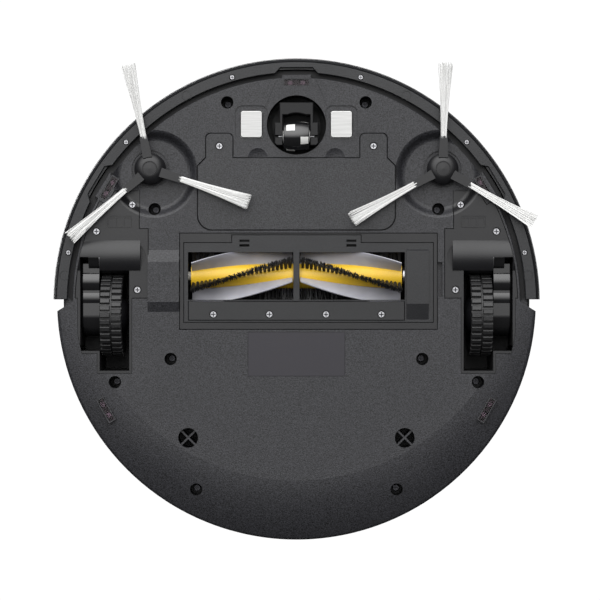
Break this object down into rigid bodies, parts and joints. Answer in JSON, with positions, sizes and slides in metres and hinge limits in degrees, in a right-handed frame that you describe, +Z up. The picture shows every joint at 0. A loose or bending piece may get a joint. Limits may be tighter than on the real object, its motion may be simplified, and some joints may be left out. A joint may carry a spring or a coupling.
{
  "type": "robot vacuum",
  "caption": "Low round robot vacuum with driven wheels, swivel caster, sprung bumper, spinning side brushes, geared roller brush and pull-out dust bin.",
  "frame": {"origin": "on the floor under the centre of the round body", "axes": "+Z up, -Y forward (the bumper side); left is at -X and right at +X, as seen from below with the front at the top"},
  "size_m": [0.33, 0.3269, 0.0766],
  "materials": {
    "housing_plastic": "fine grained",
    "module_plastic": "smooth satin",
    "gloss_black": "polished",
    "cover_plastic": "satin",
    "panel_gloss": "polished",
    "window_gloss": "smoked",
    "tyre_rubber": "matt",
    "hub_plastic": "smooth satin",
    "blade_rubber": "translucent",
    "bristle_black": "nylon bristle",
    "bristle_white": "nylon bristle",
    "core_yellow": "satin",
    "screw_zinc": "zinc plated",
    "steel": "satin",
    "contact_steel": "brushed",
    "gear_plastic": "satin",
    "pinion_brass": "satin",
    "cell_can": "shrink wrapped",
    "board_green": "solder mask",
    "sensor_dark": "smoked",
    "diode_clear": "clear",
    "label_plate": "smooth",
    "bin_plastic": "smoked",
    "filter_fleece": "pleated fleece",
    "squeegee_plastic": "smooth",
    "roller_black": "polished"
  },
  "bodies": {
    "chassis": {"bottom_housing": "housing_plastic", "top_housing": "housing_plastic", "top_panel": "panel_gloss", "bumper_springs": "steel", "bumper_switches": "gloss_black", "side_brush_motors": "module_plastic", "wheel_springs": "steel", "brush_housing": "module_plastic", "brush_gear_cover": "module_plastic", "brush_motor": "steel", "brush_bearing": "steel", "battery_cover": "cover_plastic", "battery_pack": "cell_can", "body_screws": "screw_zinc", "charging_contacts": "contact_steel", "cliff_sensor_windows": "sensor_dark", "cliff_sensor_diodes": "diode_clear", "blank_label": "label_plate", "main_board": "board_green", "suction_duct": "module_plastic", "fan_housing": "module_plastic", "fan_motor": "steel", "left_wheel_frame": "module_plastic", "right_wheel_frame": "module_plastic"},
    "bumper": {"bumper_shell": "housing_plastic", "bumper_base_ring": "housing_plastic", "bumper_window": "window_gloss", "bumper_screws": "screw_zinc"},
    "caster_swivel": {"caster_fork": "gloss_black"},
    "caster_wheel": {"caster_roller": "roller_black", "caster_axle": "steel"},
    "main_brush": {"brush_core": "core_yellow", "brush_blades": "blade_rubber", "brush_bristle_rows": "bristle_black", "brush_drive_gear": "gear_plastic"},
    "brush_idler": {"brush_idler_gear": "gear_plastic"},
    "brush_pinion": {"brush_motor_pinion": "pinion_brass"},
    "brush_guard": {"brush_cover": "cover_plastic", "squeegee_plate": "squeegee_plastic", "squeegee_screws": "screw_zinc"},
    "bin": {"dust_bin": "bin_plastic", "bin_lid": "bin_plastic", "bin_filter": "filter_fleece"},
    "bin_latch": {"bin_latch_button": "module_plastic"},
    "start_button": {"power_button": "steel"},
    "fan": {"fan_impeller": "gloss_black"},
    "left_arm": {"left_arm_case": "gloss_black", "left_drive_motor": "steel"},
    "left_wheel": {"left_wheel_hub": "hub_plastic", "left_tyre": "tyre_rubber", "left_wheel_axle": "steel"},
    "left_side_brush": {"left_side_brush_hub": "module_plastic", "left_side_brush_bristles": "bristle_white"},
    "right_arm": {"right_arm_case": "gloss_black", "right_drive_motor": "steel"},
    "right_wheel": {"right_wheel_hub": "hub_plastic", "right_tyre": "tyre_rubber", "right_wheel_axle": "steel"},
    "right_side_brush": {"right_side_brush_hub": "module_plastic", "right_side_brush_bristles": "bristle_white"}
  },
  "joints": [
    {"name": "bumper_press", "type": "slide", "parent": "chassis", "child": "bumper", "axis": [0, 1, 0], "range_m": [0, 0.003], "stiffness_N_per_m": 400, "springref_m": -0.002, "deforming": ["bumper_springs"]},
    {"name": "caster_turn", "type": "hinge", "parent": "chassis", "child": "caster_swivel", "pos_m": [0, -0.1189, 0.03], "axis": [0, 0, 1], "continuous": true},
    {"name": "caster_roll", "type": "hinge", "parent": "caster_swivel", "child": "caster_wheel", "pos_m": [0, -0.1112, 0.01], "axis": [1, 0, 0], "continuous": true},
    {"name": "main_brush_spin", "type": "hinge", "parent": "chassis", "child": "main_brush", "pos_m": [0, -0.0173, 0.019], "axis": [1, 0, 0], "continuous": true},
    {"name": "brush_idler_spin", "type": "hinge", "parent": "chassis", "child": "brush_idler", "pos_m": [-0.087, -0.0173, 0.0355], "axis": [1, 0, 0], "continuous": true},
    {"name": "brush_pinion_spin", "type": "hinge", "parent": "chassis", "child": "brush_pinion", "pos_m": [-0.087, -0.0173, 0.05], "axis": [1, 0, 0], "continuous": true},
    {"name": "brush_guard_lift", "type": "slide", "parent": "chassis", "child": "brush_guard", "axis": [0, 0, -1], "range_m": [0, 0.007]},
    {"name": "bin_pull", "type": "slide", "parent": "chassis", "child": "bin", "axis": [0, 1, 0], "range_m": [0, 0.11]},
    {"name": "bin_latch_press", "type": "slide", "parent": "bin", "child": "bin_latch", "axis": [0, -1, 0], "range_m": [0, 0.002], "stiffness_N_per_m": 500, "springref_m": -0.001},
    {"name": "start_button_press", "type": "slide", "parent": "chassis", "child": "start_button", "axis": [0, 0, -1], "range_m": [0, 0.0012], "stiffness_N_per_m": 800, "springref_m": -0.0008},
    {"name": "fan_spin", "type": "hinge", "parent": "chassis", "child": "fan", "pos_m": [0.027, 0.041, 0.03], "axis": [0, 0, 1], "continuous": true},
    {"name": "left_arm_droop", "type": "hinge", "parent": "chassis", "child": "left_arm", "pos_m": [-0.145, -0.0306, 0.0175], "axis": [-1, 0, 0], "range_deg": [0, 35], "stiffness_Nm_per_rad": 0.08, "springref_deg": 85.94},
    {"name": "left_wheel_roll", "type": "hinge", "parent": "left_arm", "child": "left_wheel", "pos_m": [-0.12465, 0.009, 0.028], "axis": [1, 0, 0], "continuous": true},
    {"name": "left_side_brush_spin", "type": "hinge", "parent": "chassis", "child": "left_side_brush", "pos_m": [-0.09853, -0.08934, 0.012], "axis": [0, 0, 1], "continuous": true},
    {"name": "right_arm_droop", "type": "hinge", "parent": "chassis", "child": "right_arm", "pos_m": [0.145, -0.0306, 0.0175], "axis": [-1, 0, 0], "range_deg": [0, 35], "stiffness_Nm_per_rad": 0.08, "springref_deg": 85.94},
    {"name": "right_wheel_roll", "type": "hinge", "parent": "right_arm", "child": "right_wheel", "pos_m": [0.12465, 0.009, 0.028], "axis": [1, 0, 0], "continuous": true},
    {"name": "right_side_brush_spin", "type": "hinge", "parent": "chassis", "child": "right_side_brush", "pos_m": [0.09853, -0.08934, 0.012], "axis": [0, 0, 1], "continuous": true}
  ],
  "couplings": [
    {"joint": "brush_idler_spin", "follows": "main_brush_spin", "ratio": -0.83333},
    {"joint": "brush_pinion_spin", "follows": "main_brush_spin", "ratio": 1.3636}
  ]
}
